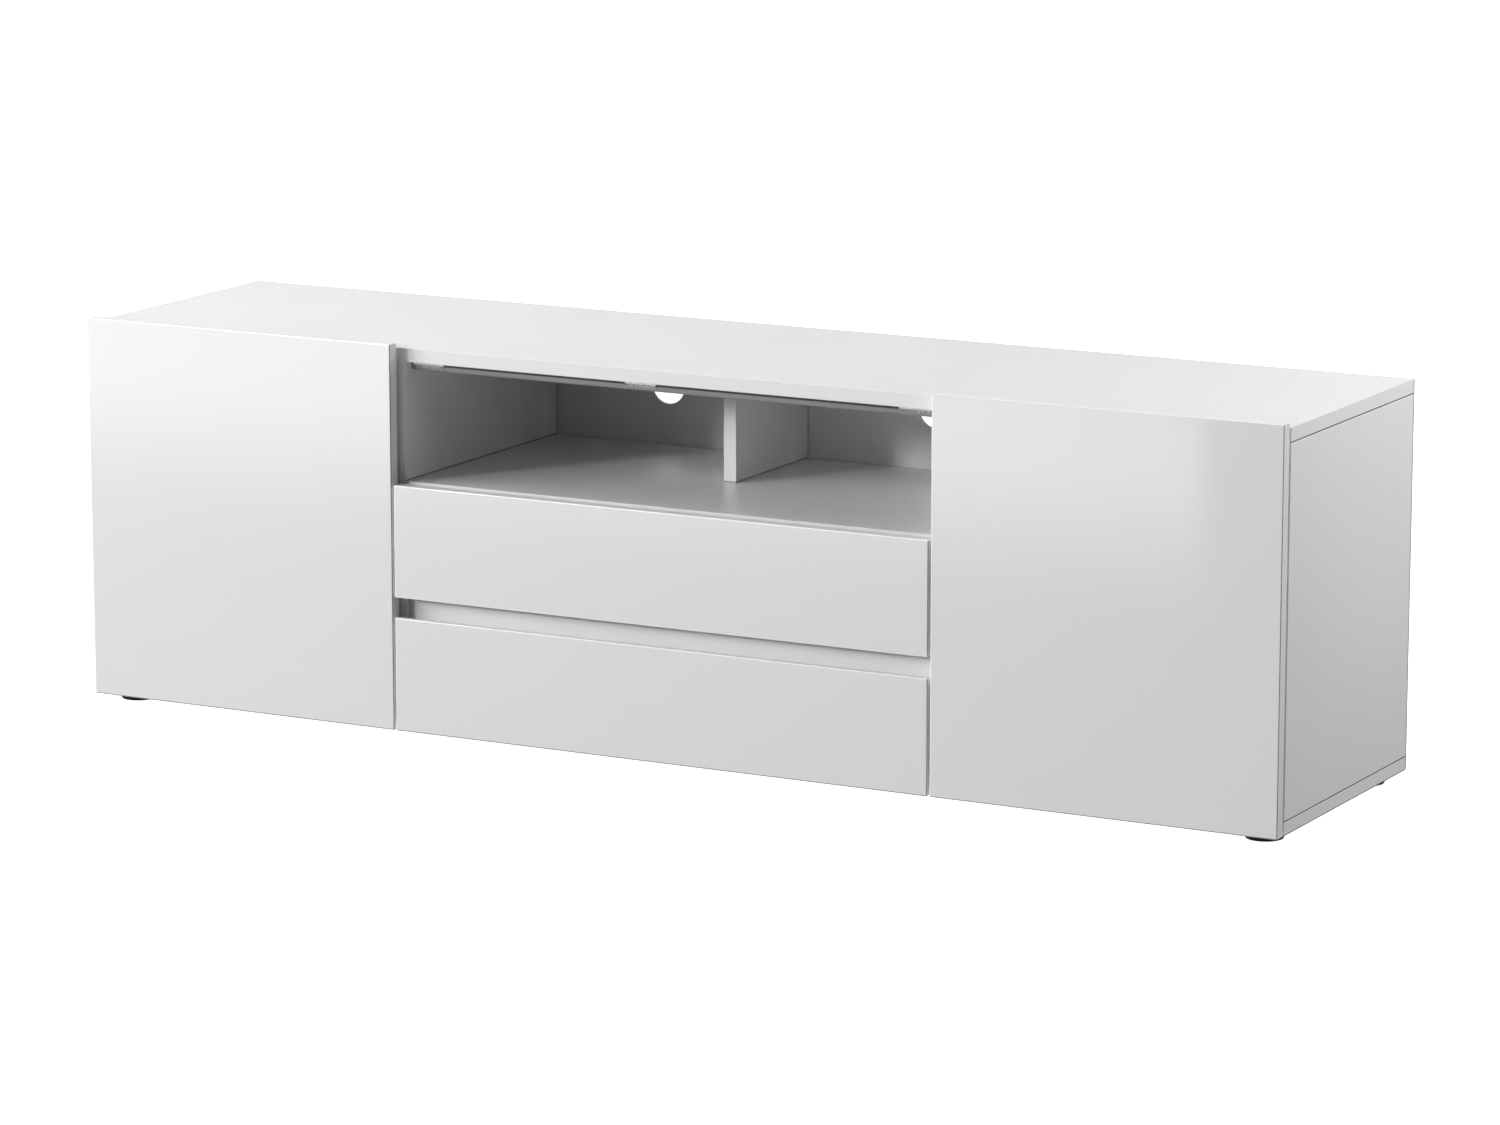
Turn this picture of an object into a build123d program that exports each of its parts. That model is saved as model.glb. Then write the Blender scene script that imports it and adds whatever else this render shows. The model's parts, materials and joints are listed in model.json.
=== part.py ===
"""TV stand with doors: two cupboards, an open niche and two drawers, standing on four feet.

Frame: millimetres, +Z up, the front faces -Y. The origin is on the floor under the middle of the
object's width and depth. Mirrored pieces are drawn on the right (+X) and copied to the left.
"""

import os
from math import sqrt

from build123d import *

# ---- driving dimensions ----------------------------------------------------------------------
WIDTH = 1530.0              # over the side panels, and over the two closed doors
BOARD = 16.0                # every carcass board, door and drawer front
CARCASS_HEIGHT = 448.0      # bottom panel's underside to the top panel's upper face
BOARD_DEPTH = 350.0         # carcass boards, front edge to rear edge
SHEET = 3.0                 # hardboard of the back and the drawer bottoms
JOINER_LIP = 1.0            # joining strip's thickness behind the back
DOOR_GAP = 4.0              # closed fronts to the carcass's front edges
FRONT_GAP = 3.5             # between neighbouring fronts
DOOR_RISE = 6.0             # how far the doors stand above the top panel
BOARD_ROUND = 0.4           # edging radius on the carcass boards
FRONT_ROUND = 1.0           # edging radius on doors and drawer fronts

NICHE_WIDTH = 678.0         # between the dividers' inner faces
NICHE_FLOOR = 292.0         # niche shelf's upper face above the bottom panel's underside
PARTITION_X = -5.5          # partition's middle plane
PARTITION_SETBACK = 170.0   # partition's front edge behind the carcass front
RAIL_HEIGHT = 40.0          # cross rail between the two drawers
RAIL_SETBACK = 5.0

DRAWER_FRONT_WIDTH = 688.0
LOWER_FRONT = 134.0         # lower drawer front's height
GRIP_GAP = 24.0             # open gap between the drawer fronts
UPPER_FRONT = 132.0         # upper drawer front's height
GRIP_BEVEL = 9.0            # bevel on the rear edge of each front at the grip gap

BOX_BOARD = 12.0            # drawer box sides and backs
BOX_HEIGHT = 95.0
BOX_LENGTH = 320.0
BOX_LIFT = 10.0             # lower box above the bottom panel
RAIL_CLEARANCE = 4.0        # cross rail to the boxes below and above it
BOTTOM_GROOVE = 5.0         # how deep a drawer bottom sits in its grooves
BOTTOM_INSET = 8.0          # drawer bottom above the box's lower edge

RUNNER_SPACE = 13.0         # divider to drawer side
RUNNER_LENGTH = 300.0
RUNNER_SETBACK = 2.0
RUNNER_STEEL = 1.2
CABINET_MEMBER = (0.0, 9.5, 45.0)               # near and far plane from the divider, height
MIDDLE_MEMBER = (4.5, 10.5, 35.0)
DRAWER_MEMBER = (7.2, RUNNER_SPACE, 25.0)

HOLE_RADIUS = 22.5          # cable holes in the back
HOLE_HEIGHT = 364.0         # above the bottom panel's underside
LEFT_HOLE_X = -186.0
RIGHT_HOLE_X = 170.0

CUP_RADIUS = 17.5
CUP_DEPTH = 12.0
CUP_WALL = 1.0
CUP_EDGE = 3.5              # door's outer edge to the cup
CUP_FLANGE = 1.0
CUP_SCREW_OFFSET = 24.0     # above and below the cup's middle
PIVOT_EDGE = 8.0            # door's outer edge to the hinge pivot
PIVOT_DEPTH = 7.5           # door's rear face to the hinge pivot
PIN_RADIUS = 1.2
KNUCKLE_RADIUS = 2.4
RUNNING_FIT = 0.05          # radial clearance of the pin in its knuckle
ARM_WIDTH = 9.0
ARM_STEEL = 1.6
ARM_INSET = 12.5            # arm's middle plane from the pivot
ARM_REACH = 62.0            # arm's rear end behind the carcass front
HINGE_INSET = 84.0          # hinge's middle from the door's top and bottom edges

LATCH_OFFSET = 8.0          # plunger's axis from the divider's face
LATCH_DROP = 60.0           # plunger's axis below the top panel
LATCH_LENGTH = 62.0
PLUNGER_RADIUS = 3.2
PLUNGER_LENGTH = 40.0
STRIKE_RADIUS = 8.0
STRIKE = 0.8                # strike plate's thickness
TIP_CLEARANCE = 0.3         # plunger to strike plate
BODY_CLEARANCE = 0.3        # plunger to housing

FOOT_RADIUS = 22.0
FOOT_HEIGHT = 10.0
FOOT_X = 732.0
FOOT_SETBACKS = (24.0, 312.0)

LIGHT_SETBACK = 10.0        # light rail's front face behind the carcass front
LIGHT_HEIGHT = 10.5
LIGHT_DEPTH = 14.0
LIGHT_WALL = 1.2

CAM_RADIUS = 7.5
CAM_DEPTH = 12.0
CAM_EDGE = 24.0             # cam's middle from the end of its board
BOLT_RADIUS = 3.0
DOWEL_RADIUS = 4.0
DOWEL_LENGTH = 30.0
DOWEL_OFFSET = 32.0         # dowel beside its cam
PANEL_GRIP = 11.0           # how far bolts and dowels reach into the board they hold
BOLT_BITE = 4.0             # how far a bolt's end reaches into its cam
SHELF_LIFT = 200.0          # cupboard shelf's underside above the bottom panel
PEG_RADIUS = 2.5
PEG_LENGTH = 16.0

# ---- planes worked out from the dimensions ---------------------------------------------------
DEPTH = BOARD + DOOR_GAP + BOARD_DEPTH + SHEET + JOINER_LIP
FRONT_Y = -DEPTH / 2
FRONT_REAR = FRONT_Y + BOARD
CARCASS_FRONT = FRONT_REAR + DOOR_GAP
CARCASS_REAR = CARCASS_FRONT + BOARD_DEPTH
BACK_REAR = CARCASS_REAR + SHEET
BASE_Z = FOOT_HEIGHT
FLOOR_Z = BASE_Z + BOARD
TOP_Z = BASE_Z + CARCASS_HEIGHT
CEILING_Z = TOP_Z - BOARD
SIDE_X = WIDTH / 2 - BOARD
NICHE_X = NICHE_WIDTH / 2
DIVIDER_X = NICHE_X + BOARD
NICHE_Z = BASE_Z + NICHE_FLOOR
LOWER_TOP = BASE_Z + LOWER_FRONT
UPPER_BASE = LOWER_TOP + GRIP_GAP
UPPER_TOP = UPPER_BASE + UPPER_FRONT
DOOR_INNER = DRAWER_FRONT_WIDTH / 2 + FRONT_GAP
DOOR_TOP = TOP_Z + DOOR_RISE
LOWER_BOX = FLOOR_Z + BOX_LIFT
RAIL_Z = LOWER_BOX + BOX_HEIGHT + RAIL_CLEARANCE
UPPER_BOX = RAIL_Z + RAIL_HEIGHT + RAIL_CLEARANCE
BOX_X = NICHE_X - RUNNER_SPACE
PIVOT_X = WIDTH / 2 - PIVOT_EDGE
PIVOT_Y = FRONT_REAR - PIVOT_DEPTH
CUP_X = WIDTH / 2 - CUP_EDGE - CUP_RADIUS
ARM_X = PIVOT_X - ARM_INSET
HINGE_HEIGHTS = (BASE_Z + HINGE_INSET, DOOR_TOP - HINGE_INSET)
SHELF_Z = FLOOR_Z + SHELF_LIFT
LATCH_X = DIVIDER_X + LATCH_OFFSET
LATCH_Z = CEILING_Z - LATCH_DROP
PARTITION_FRONT = CARCASS_FRONT + PARTITION_SETBACK
FITTING_ROWS = (CARCASS_FRONT + 50.0, CARCASS_REAR - 60.0)
DEPTH_SPAN = (CARCASS_FRONT, CARCASS_REAR)
UPRIGHT_SPAN = (FLOOR_Z, CEILING_Z)


# ---- helpers ---------------------------------------------------------------------------------
def block(x_span, y_span, z_span):
    """A box from three pairs of planes, in either order."""
    spans = [sorted(span) for span in (x_span, y_span, z_span)]
    middle = [(low + high) / 2 for low, high in spans]
    return Pos(*middle) * Box(*[high - low for low, high in spans])


def board(x_span, y_span, z_span, radius=BOARD_ROUND):
    """A board whose edges are all rounded."""
    return fillet(block(x_span, y_span, z_span).edges(), radius)


def rod(start, axis, radius, length):
    """A cylinder from a start point along an axis such as "+X" or "-Y"."""
    turns = {
        "+X": (0, 90, 0),
        "-X": (0, -90, 0),
        "+Y": (-90, 0, 0),
        "-Y": (90, 0, 0),
        "+Z": (0, 0, 0),
        "-Z": (180, 0, 0),
    }
    return Pos(*start) * Rot(*turns[axis]) * Pos(0, 0, length / 2) * Cylinder(radius, length)


def screw(under_head, axis, radius, length, head_radius, head_height):
    """A pan-head screw driven along axis, with a cross recess in its head."""
    turns = {"+X": (0, 90, 0), "-X": (0, -90, 0), "-Y": (90, 0, 0), "+Z": (0, 0, 0)}
    head = Pos(0, 0, -head_height / 2) * Cylinder(head_radius, head_height)
    head = fillet(head.edges().sort_by(Axis.Z)[0], head_height * 0.45)
    slot_length = head_radius * 1.1
    slot_width = head_radius * 0.25
    for size in ((slot_length, slot_width), (slot_width, slot_length)):
        head = head - Pos(0, 0, -head_height) * Box(*size, head_height)
    shank = Pos(0, 0, length / 2) * Cylinder(radius, length)
    return Pos(*under_head) * Rot(*turns[axis]) * (head + shank)


def cam_lock(centre, into, depth):
    """A cam disc let into a face along into, with a cross slot in its open end."""
    disc = rod(centre, into, CAM_RADIUS, depth)
    slot_length = 9.0
    slot_width = 1.6
    slot_reach = 5.0
    for y_size, z_size in ((slot_length, slot_width), (slot_width, slot_length)):
        disc = disc - Pos(*centre) * Box(slot_reach, y_size, z_size)
    return disc


def mirrored(solid):
    return mirror(solid, about=Plane.YZ)


def both_sides(solids):
    return list(solids) + [mirrored(s) for s in solids]


def boxes_meet(a, b):
    """Whether the bounding boxes a and b overlap along all three axes."""
    lows_a, highs_a = tuple(a.min), tuple(a.max)
    lows_b, highs_b = tuple(b.min), tuple(b.max)
    return all(lows_a[i] < highs_b[i] and lows_b[i] < highs_a[i] for i in range(3))


def drill(target, tools):
    """The target with a seat for each of the tools that reaches into it."""
    reach = target.bounding_box()
    for tool in tools:
        if boxes_meet(reach, tool.bounding_box()):
            target = target - tool
    return target


def write(name, items):
    """One node: a single solid, or a group of separate solids."""
    group = items if isinstance(items, list) else [items]
    solids = [solid for item in group for solid in item.solids()]
    node = solids[0] if len(solids) == 1 else Compound(children=solids)
    node.label = name
    export_step(node, f"parts/{name}.step")


# ---- fittings that join the carcass boards ---------------------------------------------------
def end_bolt(x, y, end, away):
    """A cam bolt standing in the panel beyond a board's end. away is 1 upwards, -1 downwards."""
    axis = "+Z" if away > 0 else "-Z"
    length = PANEL_GRIP + CAM_EDGE - CAM_RADIUS + BOLT_BITE
    return rod((x, y, end - away * PANEL_GRIP), axis, BOLT_RADIUS, length)


def end_dowel(x, y, end, away):
    """A dowel across the joint at a board's end. away is 1 upwards, -1 downwards."""
    axis = "+Z" if away > 0 else "-Z"
    return rod((x, y, end - away * PANEL_GRIP), axis, DOWEL_RADIUS, DOWEL_LENGTH)


def carcass_fittings():
    """Cams, their round pockets, bolts and dowels of the whole carcass."""
    cams = []
    pockets = []
    bolts = []
    dowels = []
    uprights = ((SIDE_X, "+X", SIDE_X + BOARD / 2), (DIVIDER_X, "-X", DIVIDER_X - BOARD / 2))
    for face_x, into, middle_x in uprights:
        for row in FITTING_ROWS:
            dowel_row = row + DOWEL_OFFSET * (1 if row < 0 else -1)
            for end, away in ((FLOOR_Z, 1), (CEILING_Z, -1)):
                centre = (face_x, row, end + away * CAM_EDGE)
                cams.append(cam_lock(centre, into, CAM_DEPTH))
                pockets.append(rod(centre, into, CAM_RADIUS, CAM_DEPTH))
                bolts.append(end_bolt(middle_x, row, end, away))
                dowels.append(end_dowel(middle_x, dowel_row, end, away))
    level_start = NICHE_X - DOWEL_LENGTH + PANEL_GRIP
    shelf_middle = NICHE_Z - BOARD / 2
    for row in (FITTING_ROWS[0] - 15.0, 0.0, FITTING_ROWS[1] + 15.0):
        dowels.append(rod((level_start, row, shelf_middle), "+X", DOWEL_RADIUS, DOWEL_LENGTH))
    rail_middle = CARCASS_FRONT + RAIL_SETBACK + BOARD / 2
    for height in (RAIL_Z + RAIL_HEIGHT * 0.25, RAIL_Z + RAIL_HEIGHT * 0.75):
        dowels.append(rod((level_start, rail_middle, height), "+X", DOWEL_RADIUS, DOWEL_LENGTH))
    dowels = both_sides(dowels)
    for row in (PARTITION_FRONT + 45.0, CARCASS_REAR - 45.0):
        dowels.append(end_dowel(PARTITION_X, row, NICHE_Z, 1))
        dowels.append(end_dowel(PARTITION_X, row, CEILING_Z, -1))
    return both_sides(cams), both_sides(pockets), both_sides(bolts), dowels


def shelf_pegs():
    """Four pegs under each cupboard shelf, half in the board that holds them."""
    pegs = []
    half = PEG_LENGTH / 2
    z = SHELF_Z - PEG_RADIUS
    for row in (CARCASS_FRONT + 60.0, CARCASS_REAR - 50.0):
        pegs.append(rod((SIDE_X - half, row, z), "+X", PEG_RADIUS, PEG_LENGTH))
        pegs.append(rod((DIVIDER_X + half, row, z), "-X", PEG_RADIUS, PEG_LENGTH))
    return both_sides(pegs)


def back_nails():
    """Flat-head nails along the top, bottom, sides and dividers, driven from behind."""
    edge_inset = 30.0
    row_inset = BOARD / 2
    row_count = 12
    pitch = (WIDTH - 2 * edge_inset) / (row_count - 1)
    spots = []
    for i in range(row_count):
        x = -WIDTH / 2 + edge_inset + i * pitch
        spots.extend([(x, BASE_Z + row_inset), (x, TOP_Z - row_inset)])
    column_count = 3
    rise = CARCASS_HEIGHT / (column_count + 1)
    for i in range(column_count):
        z = BASE_Z + rise * (i + 1)
        for x in (SIDE_X + BOARD / 2, NICHE_X + BOARD / 2):
            spots.extend([(x, z), (-x, z)])
    head = 0.6
    shank = SHEET + 15.0
    nails = []
    for x, z in spots:
        cap = rod((x, BACK_REAR - head / 2, z), "+Y", 2.2, head)
        nails.append(cap + rod((x, BACK_REAR, z), "-Y", 0.8, shank))
    return nails


def feet_and_screws():
    """Four slightly tapered discs, each with a screw sunk in its underside."""
    recess_radius = 6.0
    recess = 6.0
    taper = 0.8
    sole = 0.6
    rim = 1.5
    outline = Polyline(
        (0, recess),
        (recess_radius, recess),
        (recess_radius, 0),
        (FOOT_RADIUS - taper - sole, 0),
        (FOOT_RADIUS - taper, sole),
        (FOOT_RADIUS, FOOT_HEIGHT - rim),
        (FOOT_RADIUS, FOOT_HEIGHT),
        (0, FOOT_HEIGHT),
        close=True,
    )
    fixing = screw((0, 0, recess), "+Z", 2.0, 15.0, 4.0, 2.6)
    foot = revolve(Plane.XZ * make_face(outline), Axis.Z) - fixing
    places = [Pos(x, CARCASS_FRONT + setback, 0) for x in (-FOOT_X, FOOT_X) for setback in FOOT_SETBACKS]
    return [place * foot for place in places], [place * fixing for place in places]


# ---- door hinges, right-hand side ------------------------------------------------------------
def hinge_cup(z):
    """A round pan let into the door, with a slot-shaped flange on the door's rear face."""
    flange_y = (FRONT_REAR, FRONT_REAR + CUP_FLANGE)
    tall = CUP_SCREW_OFFSET + 6.0
    ears = block((CUP_X - 6.0, CUP_X + 6.0), flange_y, (z - tall, z + tall))
    ears = fillet(ears.edges().filter_by(Axis.Y), 5.5)
    rim = rod((CUP_X, FRONT_REAR, z), "+Y", CUP_RADIUS + 1.5, CUP_FLANGE)
    floor_y = FRONT_REAR - CUP_DEPTH
    pan = rod((CUP_X, floor_y, z), "+Y", CUP_RADIUS, CUP_DEPTH)
    hollow_start = (CUP_X, floor_y + CUP_WALL, z)
    hollow = rod(hollow_start, "+Y", CUP_RADIUS - CUP_WALL, CUP_DEPTH + CUP_FLANGE)
    return ears + rim + pan - hollow


def cup_screws(z):
    seat = FRONT_REAR + CUP_FLANGE
    spots = [(CUP_X, seat, z + sign * CUP_SCREW_OFFSET) for sign in (-1, 1)]
    return [screw(spot, "-Y", 1.7, 11.0, 3.4, 1.6) for spot in spots]


def hinge_pin(z):
    """The pivot, a chord across the cup with its ends in the cup's wall."""
    wall_middle = CUP_RADIUS - CUP_WALL / 2
    half = sqrt(wall_middle**2 - (PIVOT_X - CUP_X + PIN_RADIUS) ** 2)
    return rod((PIVOT_X, PIVOT_Y, z - half), "+Z", PIN_RADIUS, 2 * half)


def hinge_arm(z):
    """A knuckle on the pin, a goose neck out of the cup, and a strip back along the side."""
    rear_y = CARCASS_FRONT + ARM_REACH
    line = Polyline(
        (PIVOT_X - KNUCKLE_RADIUS * 0.8, PIVOT_Y + 0.5),
        (PIVOT_X - 10.0, PIVOT_Y + 0.5),
        (ARM_X, PIVOT_Y + 5.0),
        (ARM_X, rear_y),
    )
    outline = make_face(offset(line, ARM_STEEL / 2, side=Side.BOTH, kind=Kind.INTERSECTION))
    low = z - ARM_WIDTH / 2
    neck = Pos(0, 0, low) * extrude(outline, ARM_WIDTH)
    knuckle = rod((PIVOT_X, PIVOT_Y, low), "+Z", KNUCKLE_RADIUS, ARM_WIDTH)
    saddle_half = 8.0
    saddle_x = (ARM_X - ARM_STEEL / 2, ARM_X + ARM_STEEL / 2)
    saddle = block(saddle_x, (CARCASS_FRONT + 18.0, rear_y), (z - saddle_half, z + saddle_half))
    saddle = fillet(saddle.edges().filter_by(Axis.X), 3.0)
    bore = rod((PIVOT_X, PIVOT_Y, low - 1.0), "+Z", PIN_RADIUS + RUNNING_FIT, ARM_WIDTH + 2.0)
    return knuckle + neck + saddle - bore


def hinge_plate(z):
    """The cross-shaped mounting plate between the arm and the side panel."""
    spine_x = (ARM_X + ARM_STEEL / 2, SIDE_X)
    spine = block(spine_x, (CARCASS_FRONT + 22.0, CARCASS_FRONT + 60.0), (z - 7.0, z + 7.0))
    wing = 1.8
    wings = block((SIDE_X - wing, SIDE_X), (CARCASS_FRONT + 31.0, CARCASS_FRONT + 43.0), (z - 25.0, z + 25.0))
    return spine + fillet(wings.edges().filter_by(Axis.X), 5.0)


def plate_screws(z):
    """Two screws through the wings into the side, and one that clamps the arm to the plate."""
    wing_face = SIDE_X - 1.8
    row = CARCASS_FRONT + 37.0
    screws = [screw((wing_face, row, z + sign * 16.0), "+X", 1.7, 12.0, 3.4, 1.6) for sign in (-1, 1)]
    screws.append(screw((ARM_X - ARM_STEEL / 2, CARCASS_FRONT + 48.0, z), "+X", 1.7, 4.4, 3.4, 1.6))
    return screws


# ---- push latches, right-hand side -----------------------------------------------------------
def latch_screws():
    seat = DIVIDER_X + 2.5
    row = CARCASS_FRONT + 29.0
    return [screw((seat, row, LATCH_Z + sign * 11.5), "-X", 1.7, 12.0, 3.4, 1.6) for sign in (-1, 1)]


def latch_housing():
    """A round-nosed tube on a screwed flange, bored for the plunger."""
    front = CARCASS_FRONT + 1.0
    half = 6.5
    length = (front, front + LATCH_LENGTH)
    tube = block((DIVIDER_X, LATCH_X + half), length, (LATCH_Z - half, LATCH_Z + half))
    tube = fillet(tube.edges().filter_by(Axis.Y).sort_by(Axis.X)[-2:], 4.0)
    flange = block((DIVIDER_X, DIVIDER_X + 2.5), (front + 12.0, front + 44.0), (LATCH_Z - 17.0, LATCH_Z + 17.0))
    flange = fillet(flange.edges().filter_by(Axis.X), 4.0)
    bore_length = LATCH_LENGTH - 8.0
    bore = rod((LATCH_X, front - 1.0, LATCH_Z), "+Y", PLUNGER_RADIUS + BODY_CLEARANCE, bore_length)
    return tube + flange - bore


def latch_plunger():
    tip_y = FRONT_REAR + STRIKE + TIP_CLEARANCE
    stem = rod((LATCH_X, tip_y, LATCH_Z), "+Y", PLUNGER_RADIUS, PLUNGER_LENGTH)
    return fillet(stem.edges().sort_by(Axis.Y)[0], 0.8)


# ---- drawer runners, right-hand side ---------------------------------------------------------
def member(shape, opens_inwards, z):
    """A C channel along Y. shape is its near and far plane from the divider, and its height."""
    near, far, height = shape
    inner, outer = NICHE_X - far, NICHE_X - near
    start = CARCASS_FRONT + RUNNER_SETBACK
    solid = block((inner, outer), (start, start + RUNNER_LENGTH), (z - height / 2, z + height / 2))
    solid = fillet(solid.edges().filter_by(Axis.Y), 1.0)
    shift = -RUNNER_STEEL if opens_inwards else RUNNER_STEEL
    hollow_half = height / 2 - RUNNER_STEEL
    hollow = block(
        (inner + shift, outer + shift),
        (start - 1.0, start + RUNNER_LENGTH + 1.0),
        (z - hollow_half, z + hollow_half),
    )
    return solid - hollow


def runner_screws(z):
    """Screws through the cabinet member's web into the divider."""
    rows = (CARCASS_FRONT + 30.0, CARCASS_FRONT + 158.0, CARCASS_FRONT + 286.0)
    return [screw((NICHE_X - RUNNER_STEEL, row, z), "+X", 1.7, 12.0, 3.4, 1.6) for row in rows]


# ---- writing the carcass ---------------------------------------------------------------------
def write_carcass(fixings):
    """All boards that stand still. fixings are the screws that the other groups drive into them."""
    cams, pockets, bolts, dowels = carcass_fittings()
    pegs = shelf_pegs()
    nails = back_nails()
    feet, foot_screws = feet_and_screws()
    seats = pockets + bolts + dowels + pegs + nails + foot_screws + fixings

    full_width = (-WIDTH / 2, WIDTH / 2)
    niche_width = (-NICHE_X, NICHE_X)
    rail_y = CARCASS_FRONT + RAIL_SETBACK
    partition_span = (PARTITION_X - BOARD / 2, PARTITION_X + BOARD / 2)
    boards = {
        "top_panel": board(full_width, DEPTH_SPAN, (CEILING_Z, TOP_Z)),
        "bottom_panel": board(full_width, DEPTH_SPAN, (BASE_Z, FLOOR_Z)),
        "right_side": board((SIDE_X, WIDTH / 2), DEPTH_SPAN, UPRIGHT_SPAN),
        "left_side": board((-WIDTH / 2, -SIDE_X), DEPTH_SPAN, UPRIGHT_SPAN),
        "right_divider": board((NICHE_X, DIVIDER_X), DEPTH_SPAN, UPRIGHT_SPAN),
        "left_divider": board((-DIVIDER_X, -NICHE_X), DEPTH_SPAN, UPRIGHT_SPAN),
        "niche_shelf": board(niche_width, DEPTH_SPAN, (NICHE_Z - BOARD, NICHE_Z)),
        "niche_partition": board(partition_span, (PARTITION_FRONT, CARCASS_REAR), (NICHE_Z, CEILING_Z)),
        "cross_rail": board(niche_width, (rail_y, rail_y + BOARD), (RAIL_Z, RAIL_Z + RAIL_HEIGHT)),
    }
    for name, solid in boards.items():
        write(name, drill(solid, seats))

    slack = 0.6
    shelf_y = (CARCASS_FRONT + 20.0, CARCASS_REAR - 1.0)
    shelf = board((DIVIDER_X + slack, SIDE_X - slack), shelf_y, (SHELF_Z, SHELF_Z + BOARD))
    write("right_shelf", shelf)
    write("left_shelf", mirrored(shelf))

    write("cam_locks", [drill(cam, bolts) for cam in cams])
    write("cam_bolts", bolts)
    write("dowels", dowels)
    write("shelf_pegs", pegs)
    write("feet", feet)
    write("foot_screws", foot_screws)
    write_back(nails)


def write_back(nails):
    """Two hardboard halves, each with a cable hole, and the strip that joins them."""
    edge = 1.0
    seam = 0.8
    lip = 12.0
    height = (BASE_Z + edge, TOP_Z - edge)
    thickness = (CARCASS_REAR, BACK_REAR)
    halves = (
        ("back_left", (-WIDTH / 2 + edge, PARTITION_X - seam / 2), LEFT_HOLE_X),
        ("back_right", (PARTITION_X + seam / 2, WIDTH / 2 - edge), RIGHT_HOLE_X),
    )
    for name, span, hole_x in halves:
        hole = rod((hole_x, CARCASS_REAR - 1.0, BASE_Z + HOLE_HEIGHT), "+Y", HOLE_RADIUS, SHEET + 2.0)
        write(name, drill(block(span, thickness, height) - hole, nails))
    web = block((PARTITION_X - seam / 2, PARTITION_X + seam / 2), thickness, height)
    cover = block((PARTITION_X - lip, PARTITION_X + lip), (BACK_REAR, BACK_REAR + JOINER_LIP), height)
    write("back_joiner", fillet(cover.edges().filter_by(Axis.Z), 0.4) + web)
    write("back_nails", nails)


# ---- writing the light rail under the top ----------------------------------------------------
def write_light_rail():
    """A channel open to the front and below, with a light strip behind an angled diffuser."""
    cap = 2.0
    half = NICHE_X - 0.5
    inner = (cap - half, half - cap)
    front = CARCASS_FRONT + LIGHT_SETBACK
    rear = front + LIGHT_DEPTH
    low = CEILING_Z - LIGHT_HEIGHT
    lip = 3.0
    channel = block(inner, (front, rear), (low, CEILING_Z))
    hollow = block(
        (-half, half),
        (front - 1.0, rear - LIGHT_WALL),
        (low - 1.0, CEILING_Z - LIGHT_WALL),
    )
    front_lip = block(inner, (front, front + LIGHT_WALL), (CEILING_Z - lip, CEILING_Z))
    rear_lip = block(inner, (rear - lip, rear), (low, low + LIGHT_WALL))
    write("light_rail", channel - hollow + front_lip + rear_lip)

    skin = 1.0
    shell = block(inner, (front, rear - lip), (low, CEILING_Z - lip))
    shell = fillet(shell.edges().filter_by(Axis.X).sort_by(Axis.Y)[:2].sort_by(Axis.Z)[0], 2.0)
    core = block((-half, half), (front + skin, rear), (low + skin, CEILING_Z))
    write("light_diffuser", shell - core)

    strip_rear = rear - LIGHT_WALL
    strip_top = CEILING_Z - LIGHT_WALL
    strip_span = (inner[0] + 2.0, inner[1] - 2.0)
    write("light_strip", block(strip_span, (strip_rear - 0.4, strip_rear), (strip_top - 8.0, strip_top)))

    end = block((half - cap, half), (front, rear), (low, CEILING_Z))
    write("light_end_caps", both_sides([fillet(end.edges().filter_by(Axis.X), 0.8)]))
    write_light_clips(front, rear, low)


def write_light_clips(front, rear, low):
    """Three sprung clips that grip the channel front and rear under a screw tab."""
    steel = 0.8
    half = 20.0
    tab_half = 8.0
    tab_reach = 12.0
    bite = low + 4.0
    clips = []
    for x in (26.0 - NICHE_X, PARTITION_X - 28.0, NICHE_X - 26.0):
        span = (x - half, x + half)
        clips.append(block(span, (front - steel, front), (bite, CEILING_Z)))
        clips.append(block(span, (rear, rear + steel), (bite, CEILING_Z)))
        tab_x = (x - tab_half, x + tab_half)
        clips.append(block(tab_x, (rear + steel, rear + tab_reach), (CEILING_Z - steel, CEILING_Z)))
    write("light_clips", clips)


# ---- writing the doors -----------------------------------------------------------------------
def write_doors():
    """Both doors with their half of the hinges. Returns the screws driven into the sides."""
    door = board((DOOR_INNER, WIDTH / 2), (FRONT_Y, FRONT_REAR), (BASE_Z, DOOR_TOP), FRONT_ROUND)
    cups = []
    pins = []
    screws = []
    arms = []
    plates = []
    side_screws = []
    for z in HINGE_HEIGHTS:
        pin = hinge_pin(z)
        fasteners = cup_screws(z)
        fixings = plate_screws(z)
        pocket = rod((CUP_X, FRONT_REAR - CUP_DEPTH, z), "+Y", CUP_RADIUS, CUP_DEPTH + 1.0)
        door = drill(door, [pocket] + fasteners)
        cups.append(drill(hinge_cup(z), [pin] + fasteners))
        arms.append(drill(hinge_arm(z), fixings))
        plates.append(drill(hinge_plate(z), fixings))
        pins.append(pin)
        screws.extend(fasteners)
        side_screws.extend(fixings)
    strike = rod((LATCH_X, FRONT_REAR, LATCH_Z), "+Y", STRIKE_RADIUS, STRIKE)
    nodes = {
        "door": [door],
        "hinge_cups": cups,
        "hinge_pins": pins,
        "cup_screws": screws,
        "strike_plate": [strike],
    }
    for name, solids in nodes.items():
        write(f"right_{name}", solids)
        write(f"left_{name}", [mirrored(s) for s in solids])
    write("hinge_arms", both_sides(arms))
    write("hinge_plates", both_sides(plates))
    return both_sides(side_screws)


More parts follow.
